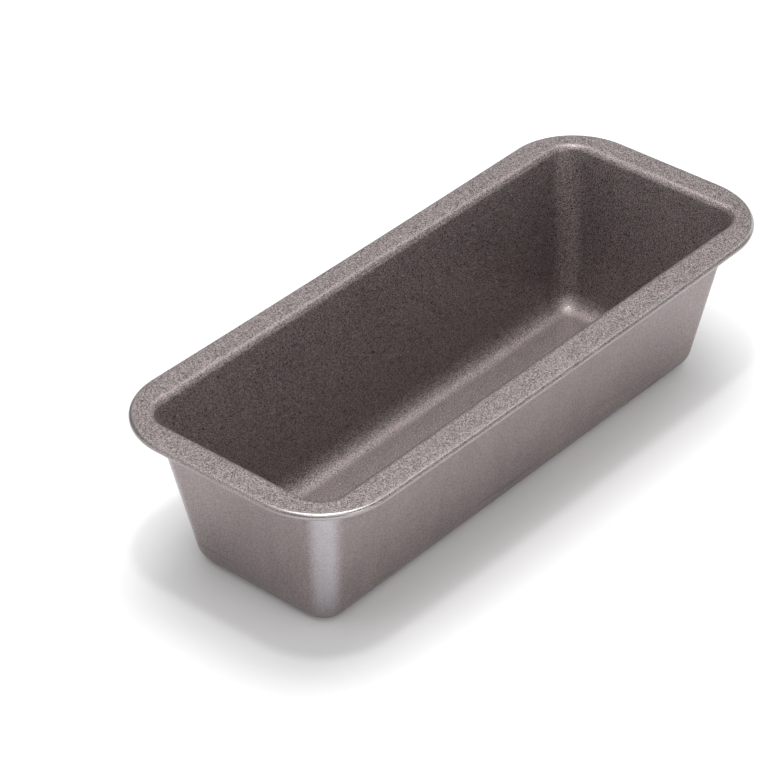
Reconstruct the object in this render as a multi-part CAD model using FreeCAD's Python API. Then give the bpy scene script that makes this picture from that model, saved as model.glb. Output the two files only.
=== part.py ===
import FreeCAD, Part
import math
import os

# Loaf pan, millimetres. X runs along the pan, Y across it, Z up.
# The origin is on the surface that the pan stands on, under its centre.
#
# The pan is one piece of sheet steel, coated on both sides and then drawn: a flat floor, four sloping
# walls, and a flat rim whose edge is folded under in an open hem. Each layer of the sheet lies between two
# depths. Depth 0 is the outside of the lacquer, and the full sheet thickness is the food side.

# Overall size
length = 300.0
width = 122.0
height = 75.0

# Sheet
steel_thickness = 0.5
lining_thickness = 0.1
lacquer_thickness = 0.1

# Rim, measured from the wall's outside where it would meet the rim's top
rim_width = 13.0
rim_corner_radius = 33.0
rim_bend_radius = 3.3
hem_radius = 1.5
hem_leg = 2.6

# Floor and walls, on the outside. The floor's size is that of its sharp corner before bending.
floor_length = 246.6
floor_width = 74.0
wall_corner_radius = 11.5
floor_bend_radius = 11.0

sheet_thickness = lacquer_thickness + steel_thickness + lining_thickness
steel_outside = lacquer_thickness
steel_inside = lacquer_thickness + steel_thickness
rim_half_length = length / 2
rim_half_width = width / 2
end_slope = math.atan2(rim_half_length - rim_width - floor_length / 2, height)
side_slope = math.atan2(rim_half_width - rim_width - floor_width / 2, height)

# Quarter turns of a rounded rectangle, counter-clockwise from the corner at +X -Y
corner_sides = ((1, -1), (1, 1), (-1, 1), (-1, -1))
quarter_turn = 90.0
tolerance = 1e-4
# The forms that are cut from each other run this far above the rim
overshoot = 5.0


def corner_centres(half_length, half_width, radius, z):
    """Centres of the four rounded corners, counter-clockwise."""
    reach_x = half_length - radius
    reach_y = half_width - radius
    return [FreeCAD.Vector(side_x * reach_x, side_y * reach_y, z) for side_x, side_y in corner_sides]


def on_circle(centre, radius, degrees):
    """Point on a level circle."""
    angle = math.radians(degrees)
    return centre + FreeCAD.Vector(radius * math.cos(angle), radius * math.sin(angle), 0)


def rounded_rectangle(half_length, half_width, radius, z):
    """Closed level wire of four straight sides and four quarter circles."""
    arcs = []
    for turn, centre in enumerate(corner_centres(half_length, half_width, radius, z)):
        start = quarter_turn * (turn - 1)
        arcs.append([on_circle(centre, radius, start + part * quarter_turn / 2) for part in range(3)])
    edges = []
    for arc, next_arc in zip(arcs, arcs[1:] + arcs[:1]):
        edges.append(Part.Arc(*arc).toShape())
        edges.append(Part.LineSegment(arc[-1], next_arc[0]).toShape())
    return Part.Wire(edges)


def wall_outline(depth, z):
    """Outline of the sloping walls at one height, as deep in the sheet as asked."""
    half_length = floor_length / 2 + z * math.tan(end_slope) - depth / math.cos(end_slope)
    half_width = floor_width / 2 + z * math.tan(side_slope) - depth / math.cos(side_slope)
    return rounded_rectangle(half_length, half_width, wall_corner_radius - depth, z)


def level_edges(solid, z, half_length, half_width):
    """Edges that lie level at one height, inside a rectangle."""
    edges = []
    for edge in solid.Edges:
        box = edge.BoundBox
        is_level = abs(box.ZMin - z) < tolerance and abs(box.ZMax - z) < tolerance
        is_inside = max(-box.XMin, box.XMax) < half_length and max(-box.YMin, box.YMax) < half_width
        if is_level and is_inside:
            edges.append(edge)
    return edges


def space_above(depth):
    """Everything on the food side of the sheet at one depth: the inside of the pan and the air on its rim."""
    rim_z = height - sheet_thickness + depth
    inside = Part.makeLoft([wall_outline(depth, depth), wall_outline(depth, rim_z)], True, True)
    half_length = rim_half_length - hem_radius
    half_width = rim_half_width - hem_radius
    rim_outline = rounded_rectangle(half_length, half_width, rim_corner_radius - hem_radius, rim_z)
    air = Part.Face(rim_outline).extrude(FreeCAD.Vector(0, 0, height + overshoot - rim_z))
    space = inside.fuse(air).removeSplitter()
    inside_rim = (half_length - rim_width / 2, half_width - rim_width / 2)
    rim_bend = level_edges(space, rim_z, *inside_rim)
    space = space.makeFillet(rim_bend_radius - sheet_thickness + depth, rim_bend)
    floor_bend = level_edges(space, depth, *inside_rim)
    return space.makeFillet(floor_bend_radius - depth, floor_bend)


def hem_profile(outer_depth, inner_depth):
    """Section of one layer of the hem: half a ring, then a flat leg that points back under the rim."""
    small = hem_radius - sheet_thickness + outer_depth
    large = hem_radius - sheet_thickness + inner_depth

    def point(x, z):
        return FreeCAD.Vector(x, 0, z)

    edges = [
        Part.Arc(point(0, large), point(large, 0), point(0, -large)).toShape(),
        Part.LineSegment(point(0, -large), point(-hem_leg, -large)).toShape(),
        Part.LineSegment(point(-hem_leg, -large), point(-hem_leg, -small)).toShape(),
        Part.LineSegment(point(-hem_leg, -small), point(0, -small)).toShape(),
        Part.Arc(point(0, -small), point(small, 0), point(0, small)).toShape(),
        Part.LineSegment(point(0, small), point(0, large)).toShape(),
    ]
    return Part.Face(Part.Wire(edges))


def hem(outer_depth, inner_depth):
    """One layer of the hem, round the whole rim, as four straight lengths and four quarter turns."""
    up = FreeCAD.Vector(0, 0, 1)
    radius = rim_corner_radius - hem_radius
    centres = corner_centres(
        rim_half_length - hem_radius, rim_half_width - hem_radius, radius, height - hem_radius)
    pieces = []
    for turn, centre in enumerate(centres):
        start = quarter_turn * (turn - 1)
        section = hem_profile(outer_depth, inner_depth)
        section.rotate(FreeCAD.Vector(), up, start)
        section.translate(on_circle(centre, radius, start))
        pieces.append(section.revolve(centre, up, quarter_turn))
        section.rotate(centre, up, quarter_turn)
        next_centre = centres[(turn + 1) % len(centres)]
        pieces.append(section.extrude(next_centre - centre))
    return pieces


def layer(outer_depth, inner_depth):
    """One layer of the sheet, from the middle of the floor to the cut edge in the hem."""
    sheet = space_above(outer_depth).cut(space_above(inner_depth))
    return sheet.fuse(hem(outer_depth, inner_depth)).removeSplitter()


def flat_floor_prism():
    """Block over the flat part of the floor's underside, inside the bend."""
    end_setback = floor_bend_radius * math.tan((math.pi / 2 - end_slope) / 2)
    side_setback = floor_bend_radius * math.tan((math.pi / 2 - side_slope) / 2)
    outline = rounded_rectangle(
        floor_length / 2 - end_setback,
        floor_width / 2 - side_setback,
        wall_corner_radius - max(end_setback, side_setback),
        0,
    )
    return Part.Face(outline).extrude(FreeCAD.Vector(0, 0, lacquer_thickness))


def steel_shell():
    """The steel of the sheet, which carries the load."""
    return layer(steel_outside, steel_inside)


def nonstick_lining():
    """The grained coating of the food side, which runs over the rim and round the hem."""
    return layer(steel_inside, sheet_thickness)


def outer_lacquer():
    """The smooth coating of the outside, from the floor's bend to the cut edge inside the hem."""
    return layer(0, steel_outside).cut(flat_floor_prism())


def floor_lacquer():
    """The part of the outside coating that the pan stands on."""
    return layer(0, steel_outside).common(flat_floor_prism())


def main():
    os.makedirs("parts", exist_ok=True)
    for make in (steel_shell, nonstick_lining, outer_lacquer, floor_lacquer):
        shape = make()
        solids = shape.Solids
        node = make.__name__
        if len(solids) != 1 or not solids[0].isValid():
            raise RuntimeError(f"{node} has {len(solids)} solids, or an invalid one")
        solids[0].exportStep(f"parts/{node}.step")
        box = solids[0].optimalBoundingBox(False)
        print(f"{node}: {solids[0].Volume:.0f} mm3, {box.XLength:.2f} x {box.YLength:.2f} x {box.ZLength:.2f} mm")


main()
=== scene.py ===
import math

import bpy
import numpy as np
from mathutils import Euler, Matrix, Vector


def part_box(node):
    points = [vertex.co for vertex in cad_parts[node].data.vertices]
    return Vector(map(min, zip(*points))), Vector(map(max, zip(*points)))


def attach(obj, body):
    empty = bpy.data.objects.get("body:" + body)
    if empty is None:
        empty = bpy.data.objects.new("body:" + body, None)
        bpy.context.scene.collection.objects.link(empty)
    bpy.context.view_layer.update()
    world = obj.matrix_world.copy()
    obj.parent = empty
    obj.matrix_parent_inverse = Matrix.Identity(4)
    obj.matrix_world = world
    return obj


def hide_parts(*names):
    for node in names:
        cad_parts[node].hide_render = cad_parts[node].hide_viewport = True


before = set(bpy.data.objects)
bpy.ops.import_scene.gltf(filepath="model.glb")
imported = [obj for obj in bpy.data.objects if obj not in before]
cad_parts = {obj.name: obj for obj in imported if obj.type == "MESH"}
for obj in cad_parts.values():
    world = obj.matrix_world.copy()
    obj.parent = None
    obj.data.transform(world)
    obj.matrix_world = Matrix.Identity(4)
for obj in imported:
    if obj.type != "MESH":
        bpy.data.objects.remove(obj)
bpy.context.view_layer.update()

# ---------------------------------------------------------------- sizes, in metres

lining_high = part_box("nonstick_lining")[1]
steel_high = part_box("steel_shell")[1]
lacquer_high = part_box("outer_lacquer")[1]

rim_half_length = lining_high.x
rim_half_width = lining_high.y
height = lining_high.z
lacquer_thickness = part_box("floor_lacquer")[1].z
steel_inside = lacquer_thickness + steel_high.x - lacquer_high.x
sheet_thickness = steel_inside + lining_high.x - steel_high.x

# These repeat the CAD's own driving sizes
rim_width = 0.013
rim_corner_radius = 0.033
rim_bend_radius = 0.0033
hem_radius = 0.0015
hem_leg = 0.0026
wall_corner_radius = 0.0115
floor_bend_radius = 0.011
floor_half_length = 0.1233
floor_half_width = 0.037

# Small unevenness of a pressed pan
near_rim_bow = 0.0014   # the rim's long edges both sag towards -Y at mid-length
far_rim_bow = 0.0009
right_corner_easing = 0.003   # the rim's corner at +X -Y is rounder than the others

end_slope = (rim_half_length - rim_width - floor_half_length) / height
side_slope = (rim_half_width - rim_width - floor_half_width) / height

# Painted highlight down the outside wall corners, in place of the light they reflect: sine of the turn from
# a flat wall where corners start and are full, and height off the floor it fades over
corner_ease_start = 0.08
corner_ease_full = 0.6
painted_highlight_fade_height = 0.022
scuff_height = 0.022   # the shelf's wear reaches this high up the outside
side_stretch = 0.35   # the folded edge's lining is this smooth on the sides, against 1 at the corners

# Mesh density and shading
corner_steps = 20
long_side_steps = 64
short_side_steps = 16
floor_steps = 12
floor_bend_steps = 14
wall_steps = 20
rim_bend_steps = 12
rim_steps = 6
hem_steps = 16
leg_steps = 2
sharp_edge_angle = math.radians(50)   # only the sheet's cut edges turn more sharply than this

# ---------------------------------------------------------------- the sheet's shape

corner_signs = np.array([(1, -1), (1, 1), (-1, 1), (-1, -1)])
right_angle = math.pi / 2


def stations():
    """Stations round the pan, counter-clockwise from the corner at +X -Y.

    Gives the corner each one follows, its share of the way to the next corner, and its outward direction."""
    rows = []
    for corner in range(len(corner_signs)):
        start = right_angle * (corner - 1)
        side_steps = long_side_steps if corner % 2 else short_side_steps
        rows += [(corner, 0, start + right_angle * step / corner_steps) for step in range(corner_steps + 1)]
        rows += [(corner, step / side_steps, start + right_angle) for step in range(1, side_steps)]
    corner, share, angle = np.array(rows).T
    return corner.astype(int), share[:, None], np.stack([np.cos(angle), np.sin(angle)], axis=1)


corner_before, share_to_next, outward = stations()
station_count = len(outward)
wall_lean = np.arctan(abs(outward) @ np.array([end_slope, side_slope]))


def ring(half_length, half_width, radii):
    """Rounded rectangle, as one level point for each station; one radius, or one for each corner."""
    radii = np.broadcast_to(radii, len(corner_signs))[:, None]
    centres = corner_signs * (np.array([half_length, half_width]) - radii)
    corner_after = (corner_before + 1) % len(corner_signs)

    def along(values):
        return (1 - share_to_next) * values[corner_before] + share_to_next * values[corner_after]

    return along(centres) + along(radii) * outward


def wall_outside(z):
    """Outside of the sloping walls at one height."""
    return ring(floor_half_length + z * end_slope, floor_half_width + z * side_slope, wall_corner_radius)


def outside_normal(lean):
    """Normal of the sheet's outside at each station, leaning below the horizon by an angle."""
    lean = np.broadcast_to(lean, station_count)[:, None]
    return np.concatenate([np.cos(lean) * outward, -np.sin(lean)], axis=1)


def raised(level_points, z):
    """Level points with their height."""
    return np.concatenate([level_points, np.full((station_count, 1), z)], axis=1)


def between(first, last, steps):
    """Rows of points spaced evenly between two rows, without the two."""
    return [first + (last - first) * step / steps for step in range(1, steps)]


def profile_rows():
    """The sheet's middle surface from the middle of the floor to the cut edge of the hem.

    Gives each row's points and outside normals, and 1 if it is in the folded edge or else 0."""
    half_sheet = sheet_thickness / 2
    inset = floor_bend_radius / np.cos(wall_lean)[:, None]
    floor_centres = raised(wall_outside(floor_bend_radius) - inset * outward, floor_bend_radius)
    rim_offset = (rim_bend_radius - sheet_thickness) / np.cos(wall_lean)[:, None]
    rim_bend_z = height - rim_bend_radius
    rim_centres = raised(wall_outside(rim_bend_z) + rim_offset * outward, rim_bend_z)
    right_corner_only = np.array([1, 0, 0, 0])
    hem_radii = rim_corner_radius - hem_radius + right_corner_easing * right_corner_only
    hem_outline = ring(rim_half_length - hem_radius, rim_half_width - hem_radius, hem_radii)
    bow = np.interp(hem_outline[:, 1], [-rim_half_width, rim_half_width], [near_rim_bow, far_rim_bow])
    hem_outline[:, 1] -= bow * (1 - (hem_outline[:, 0] / rim_half_length) ** 2)
    hem_centres = raised(hem_outline, height - hem_radius)

    def bend(centres, radius, first_lean, last_lean, steps):
        leans = [first_lean + (last_lean - first_lean) * step / steps for step in range(steps + 1)]
        return [centres + radius * outside_normal(lean) for lean in leans], leans

    floor_bend, floor_leans = bend(
        floor_centres, floor_bend_radius - half_sheet, right_angle, wall_lean, floor_bend_steps)
    rim_bend, rim_leans = bend(
        rim_centres, half_sheet - rim_bend_radius, wall_lean, right_angle, rim_bend_steps)
    hem, hem_leans = bend(
        hem_centres, half_sheet - hem_radius, right_angle, 3 * right_angle, hem_steps)

    flat_half_length, flat_half_width = floor_bend[0][:, :2].max(axis=0)
    floor = []
    for step in range(floor_steps):
        half_width = flat_half_width * (step + 1) / (floor_steps + 1)
        shrink = flat_half_width - half_width
        corner_radius = min(shrink, half_width) / 2
        floor.append(raised(ring(flat_half_length - shrink, half_width, corner_radius), half_sheet))
    wall = between(floor_bend[-1], rim_bend[0], wall_steps)
    rim = between(rim_bend[-1], hem[0], rim_steps)
    leg_end = hem[-1] - raised(hem_leg * outward, 0)
    leg = between(hem[-1], leg_end, leg_steps) + [leg_end]

    rows = floor + floor_bend + wall + rim_bend + rim + hem + leg
    leans = [right_angle] * len(floor) + floor_leans + [wall_lean] * len(wall) + rim_leans
    leans += [right_angle] * len(rim) + hem_leans + [3 * right_angle] * len(leg)
    fold = np.zeros(len(rows))
    fold[-len(hem + leg):] = 1
    return np.array(rows), np.array([outside_normal(lean) for lean in leans]), fold


middle_rows, normal_rows, row_fold = profile_rows()
row_count = len(middle_rows)


def smooth_step(share):
    """A share from 0 to 1, eased at both ends."""
    share = np.clip(share, 0, 1)
    return share * share * (3 - 2 * share)


def corner_share():
    """How far each station is into a corner, from 0 on the flat sides to 1 in the middle of the corner."""
    sideways = np.minimum(abs(outward[:, 0]), abs(outward[:, 1]))
    return smooth_step((sideways - corner_ease_start) / (corner_ease_full - corner_ease_start))


def corner_painted_highlight():
    """How strong the painted highlight is at each point, from 0 on the flats to 1 in the middle of a wall
    corner, fading towards the floor.
    """
    return smooth_step(middle_rows[:, :, 2] / painted_highlight_fade_height) * corner_share()


def foot_scuff():
    """How far each point is worn by the shelf, from 0 high on the walls to 1 where the pan stands."""
    return smooth_step(1 - middle_rows[:, :, 2] / scuff_height)


def fold_stretch():
    """How far the fold stretched the lining smooth, from 0 on the flats to 1 round the corners."""
    return row_fold[:, None] * (side_stretch + (1 - side_stretch) * corner_share())


def surface(depth):
    """Points of one surface of the sheet, row by row; depth 0 is the outside."""
    return (middle_rows + (sheet_thickness / 2 - depth) * normal_rows).reshape(-1, 3)


def surface_faces(first_vertex):
    """Faces of one surface, seen from the outside, with one face that closes the middle of the floor."""
    faces = [tuple(first_vertex + station for station in reversed(range(station_count)))]
    for row in range(row_count - 1):
        for station in range(station_count):
            following = (station + 1) % station_count
            below = first_vertex + row * station_count
            above = below + station_count
            faces.append((below + station, below + following, above + following, above + station))
    return faces


def layer(name, outer_depth, inner_depth, material, slot, *cad_nodes):
    """One layer of the sheet as a closed mesh that stands for its CAD nodes."""
    points = np.concatenate([surface(outer_depth), surface(inner_depth)])
    inner_start = row_count * station_count
    faces = surface_faces(0)
    faces += [tuple(reversed(face)) for face in surface_faces(inner_start)]
    last_row = (row_count - 1) * station_count
    for station in range(station_count):
        following = (station + 1) % station_count
        outer = last_row + station, last_row + following
        faces.append((*outer, inner_start + outer[1], inner_start + outer[0]))
    mesh = bpy.data.meshes.new(name)
    mesh.from_pydata(points.tolist(), [], faces)
    mesh.shade_smooth()
    mesh.set_sharp_from_angle(angle=sharp_edge_angle)
    mesh.materials.append(material)
    both_sides = 2
    # The corner mark carries the painted highlight down the outside wall corners.
    point_marks = {"stretch": fold_stretch(), "painted_highlight": corner_painted_highlight(), "scuff": foot_scuff()}
    for mark_name, values in point_marks.items():
        marks = mesh.attributes.new(mark_name, "FLOAT", "POINT")
        marks.data.foreach_set("value", np.tile(values.ravel(), both_sides))
    piece = bpy.data.objects.new(name, mesh)
    bpy.context.scene.collection.objects.link(piece)
    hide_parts(*cad_nodes)
    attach(piece, "root")
    return piece


# ---------------------------------------------------------------- materials

def new_material(name):
    """Material with nodes, and its Principled shader."""
    material = bpy.data.materials.new(name)
    material.use_nodes = True
    return material, material.node_tree.nodes["Principled BSDF"]


def noise(tree, scale, stretch=(1, 1, 1), detail=3.0, roughness=0.5):
    """Noise over the object's own coordinates, in features per metre; its factor socket."""
    coordinates = tree.nodes.new("ShaderNodeTexCoord")
    mapping = tree.nodes.new("ShaderNodeMapping")
    mapping.inputs["Scale"].default_value = stretch
    texture = tree.nodes.new("ShaderNodeTexNoise")
    texture.inputs["Scale"].default_value = scale
    texture.inputs["Detail"].default_value = detail
    texture.inputs["Roughness"].default_value = roughness
    tree.links.new(coordinates.outputs["Object"], mapping.inputs["Vector"])
    tree.links.new(mapping.outputs["Vector"], texture.inputs["Vector"])
    return texture.outputs["Fac"]


def ramp(tree, factor, *stops):
    """Colour ramp through (position, colour) stops; its colour socket."""
    node = tree.nodes.new("ShaderNodeValToRGB")
    elements = node.color_ramp.elements
    while len(elements) < len(stops):
        elements.new(1.0)
    for element, (position, colour) in zip(elements, stops):
        element.position = position
        element.color = (*colour, 1)
    tree.links.new(factor, node.inputs["Fac"])
    return node.outputs["Color"]


def mixed(tree, factor, first, second, blend="MIX"):
    """Two colour sockets mixed by a factor, which is a number or a socket; the result socket."""
    node = tree.nodes.new("ShaderNodeMix")
    node.data_type = "RGBA"
    node.blend_type = blend
    if isinstance(factor, float):
        node.inputs["Factor"].default_value = factor
    else:
        tree.links.new(factor, node.inputs["Factor"])
    tree.links.new(first, node.inputs["A"])
    tree.links.new(second, node.inputs["B"])
    return node.outputs["Result"]


def multiplied(tree, first, second):
    """Two colour sockets multiplied; the result socket."""
    return mixed(tree, 1.0, first, second, "MULTIPLY")


def grey(value):
    """A colour without a hue."""
    return value, value, value


def spread(tree, factor, low, high, start=0.3, end=0.7):
    """A factor spread over a new range, whose ends are numbers or sockets; the result socket."""
    node = tree.nodes.new("ShaderNodeMapRange")
    node.inputs["From Min"].default_value = start
    node.inputs["From Max"].default_value = end
    for name, value in (("To Min", low), ("To Max", high)):
        if isinstance(value, float):
            node.inputs[name].default_value = value
        else:
            tree.links.new(value, node.inputs[name])
    tree.links.new(factor, node.inputs["Value"])
    return node.outputs["Result"]


def bump(tree, shader, factor, distance, strength):
    """Bump of a real height in metres on a shader; its strength is a number or a socket."""
    node = tree.nodes.new("ShaderNodeBump")
    node.inputs["Distance"].default_value = distance
    if isinstance(strength, float):
        node.inputs["Strength"].default_value = strength
    else:
        tree.links.new(strength, node.inputs["Strength"])
    tree.links.new(factor, node.inputs["Height"])
    tree.links.new(node.outputs["Normal"], shader.inputs["Normal"])


def mark(tree, name):
    """A mark stored on the mesh's points; its factor socket."""
    node = tree.nodes.new("ShaderNodeAttribute")
    node.attribute_name = name
    return node.outputs["Fac"]


def nonstick_coating():
    """Finely grained metallic bake coating, stretched smooth and glossy over the folded edge."""
    material, shader = new_material("food_side_coating")
    tree = material.node_tree
    stretch = mark(tree, "stretch")
    grain = noise(tree, scale=2700, detail=2.0, roughness=0.6)
    patches = noise(tree, scale=60, detail=4.0, roughness=0.6)
    flecks = noise(tree, scale=420, detail=1.0)

    dark_grain = 0.4, (0.115, 0.098, 0.096)
    middle_grain = 0.5, (0.235, 0.199, 0.195)
    bright_grain = 0.6, (0.48, 0.41, 0.402)
    grains = ramp(tree, grain, dark_grain, middle_grain, bright_grain)
    tone = ramp(tree, patches, (0.3, grey(0.92)), (0.7, grey(1)))
    flecked = ramp(tree, flecks, (0.77, grey(1)), (0.8, grey(1.5)))
    coarse = multiplied(tree, multiplied(tree, grains, tone), flecked)
    stretched = ramp(tree, patches, (0.3, (0.34, 0.306, 0.302)), (0.7, (0.39, 0.356, 0.352)))
    tree.links.new(mixed(tree, stretch, coarse, stretched), shader.inputs["Base Color"])

    metallic = spread(tree, grain, low=1.0, high=0.55, start=0.5, end=0.62)
    tree.links.new(metallic, shader.inputs["Metallic"])
    grain_roughness = spread(tree, grain, low=0.26, high=0.6, start=0.4, end=0.6)
    roughness = spread(tree, stretch, low=grain_roughness, high=0.26, start=0, end=1)
    tree.links.new(roughness, shader.inputs["Roughness"])
    shader.inputs["Coat Weight"].default_value = 0.5
    shader.inputs["Coat Roughness"].default_value = 0.13
    relief = spread(tree, stretch, low=1.0, high=0.06, start=0, end=1)
    bump(tree, shader, grain, distance=0.00016, strength=relief)
    return material


def outside_lacquer():
    """Satin lacquer with faint upright streaks, a painted highlight lighter down the wall corners, and
    scuffed at the foot.
    """
    material, shader = new_material("outside_satin_lacquer")
    tree = material.node_tree
    fine = noise(tree, scale=1500, detail=3.0, roughness=0.6)
    streaks = noise(tree, scale=160, stretch=(1, 1, 0.08), detail=4.0, roughness=0.6)
    clouds = noise(tree, scale=25, detail=3.0)
    level_lines = noise(tree, scale=260, stretch=(0.05, 0.05, 1), detail=2.0)

    tint = ramp(tree, streaks, (0.35, (0.355, 0.299, 0.294)), (0.65, (0.395, 0.334, 0.328)))
    tone = ramp(tree, clouds, (0.3, (0.92, 0.92, 0.93)), (0.7, grey(1)))
    speckle = ramp(tree, fine, (0.38, (0.6, 0.6, 0.61)), (0.62, grey(1)))
    unworn = multiplied(tree, multiplied(tree, tint, tone), speckle)
    scuffs = ramp(tree, level_lines, (0.38, grey(0.6)), (0.43, grey(1)))
    worn = mixed(tree, mark(tree, "scuff"), unworn, multiplied(tree, unworn, scuffs))
    # Painted highlight: a lighter, cooler colour down the outside wall corners, standing in for the light
    # they reflect.
    painted_highlight_colour = ramp(tree, fine, (0.35, (0.41, 0.387, 0.41)), (0.65, (0.53, 0.498, 0.528)))
    tree.links.new(mixed(tree, mark(tree, "painted_highlight"), worn, painted_highlight_colour), shader.inputs["Base Color"])

    shader.inputs["Metallic"].default_value = 0.9
    tree.links.new(spread(tree, streaks, low=0.34, high=0.42), shader.inputs["Roughness"])
    bump(tree, shader, fine, distance=0.00002, strength=0.4)
    return material


def sheet_steel():
    """Bare cut edge of cold-rolled sheet."""
    material, shader = new_material("bare_sheet_steel")
    tree = material.node_tree
    scratches = noise(tree, scale=3000, stretch=(1, 1, 0.1), detail=2.0)
    base = ramp(tree, scratches, (0.35, (0.42, 0.41, 0.4)), (0.65, (0.62, 0.61, 0.6)))
    tree.links.new(base, shader.inputs["Base Color"])
    shader.inputs["Metallic"].default_value = 1.0
    tree.links.new(spread(tree, scratches, low=0.25, high=0.45), shader.inputs["Roughness"])
    bump(tree, shader, scratches, distance=0.00002, strength=0.5)
    return material


def floor_paper():
    """Pale matt surface with the faintest unevenness."""
    material, shader = new_material("floor_paper")
    tree = material.node_tree
    unevenness = noise(tree, scale=3, detail=2.0)
    tone = ramp(tree, unevenness, (0.3, grey(0.9)), (0.7, grey(0.92)))
    tree.links.new(tone, shader.inputs["Base Color"])
    shader.inputs["Roughness"].default_value = 0.9
    return material


# ---------------------------------------------------------------- stage

floor_half_size = 4.0
softbox_distance = 2.0
room_brightness = 0.28
camera_place = Vector((-0.88317, -0.7121, 0.8319))
camera_turn = math.radians(49.635)   # clockwise from +Y, seen from above
camera_tilt = math.radians(35.018)   # below the horizon
focal_length = 155.57   # this and the sensor are in millimetres, as Blender has them
sensor_width = 36
sight_range = 50


def stage_floor():
    """Plain pale floor under the pan."""
    corners = [(x * floor_half_size, y * floor_half_size, 0) for x, y in corner_signs.tolist()]
    mesh = bpy.data.meshes.new("floor")
    mesh.from_pydata(corners, [], [tuple(range(len(corners)))])
    mesh.materials.append(floor_paper())
    plane = bpy.data.objects.new("floor", mesh)
    bpy.context.scene.collection.objects.link(plane)


def softbox(name, azimuth, elevation, power, size=1.0):
    """Square softbox aimed at the pan: its direction in degrees from +X and up, its watts and its side."""
    light = bpy.data.lights.new(name, "AREA")
    light.size = size
    light.energy = power
    lamp = bpy.data.objects.new(name, light)
    direction = Euler((0, -math.radians(elevation), math.radians(azimuth))).to_matrix() @ Vector((1, 0, 0))
    lamp.location = Vector((0, 0, height / 2)) + softbox_distance * direction
    lamp.rotation_euler = (-direction).to_track_quat("-Z", "Y").to_euler()
    bpy.context.scene.collection.objects.link(lamp)


def surroundings(strength):
    """White studio all round."""
    world = bpy.data.worlds.new("studio")
    world.use_nodes = True
    background = world.node_tree.nodes["Background"]
    background.inputs["Color"].default_value = (1, 1, 1, 1)
    background.inputs["Strength"].default_value = strength
    bpy.context.scene.world = world


def camera():
    """Long lens that looks down at the pan's near corner."""
    lens = bpy.data.cameras.new("camera")
    lens.sensor_width = sensor_width
    lens.lens = focal_length
    lens.clip_end = sight_range
    view = bpy.data.objects.new("camera", lens)
    view.location = camera_place
    view.rotation_euler = (right_angle - camera_tilt, 0, -camera_turn)
    bpy.context.scene.collection.objects.link(view)
    bpy.context.scene.camera = view


def studio():
    """Softboxes above and round the pan, with a small key that sparkles in corners, in a dim white room."""
    softbox("overhead_back", 45, 79, 13, size=1.2)
    softbox("front", 225, 52, 9.2, size=1.5)
    softbox("overhead_left", 135, 64, 5.5, size=1.5)
    softbox("overhead_right", 12, 77, 13.5, size=1.2)
    softbox("key", 211, 81, 6.5, size=0.16)
    softbox("middle_back", 48, 38, 1.1)
    softbox("middle_right", 5, 42, 2.2)
    softbox("low_back", 45, 18, 0.5)
    softbox("low_side", 305, 20, 1.5)
    softbox("low_right", 0, 18, 3.5)
    softbox("low_left", 150, 18, 3.8)
    softbox("low_front", 268, 18, 8.4)
    surroundings(room_brightness)
    bpy.context.scene.view_settings.view_transform = "Standard"


layer("pan_steel", lacquer_thickness, steel_inside, sheet_steel(), "sheet_steel", "steel_shell")
layer("pan_lining", steel_inside, sheet_thickness, nonstick_coating(), "nonstick_coating", "nonstick_lining")
layer(
    "pan_lacquer", 0, lacquer_thickness, outside_lacquer(), "outside_lacquer",
    "outer_lacquer", "floor_lacquer")
stage_floor()
camera()
studio()
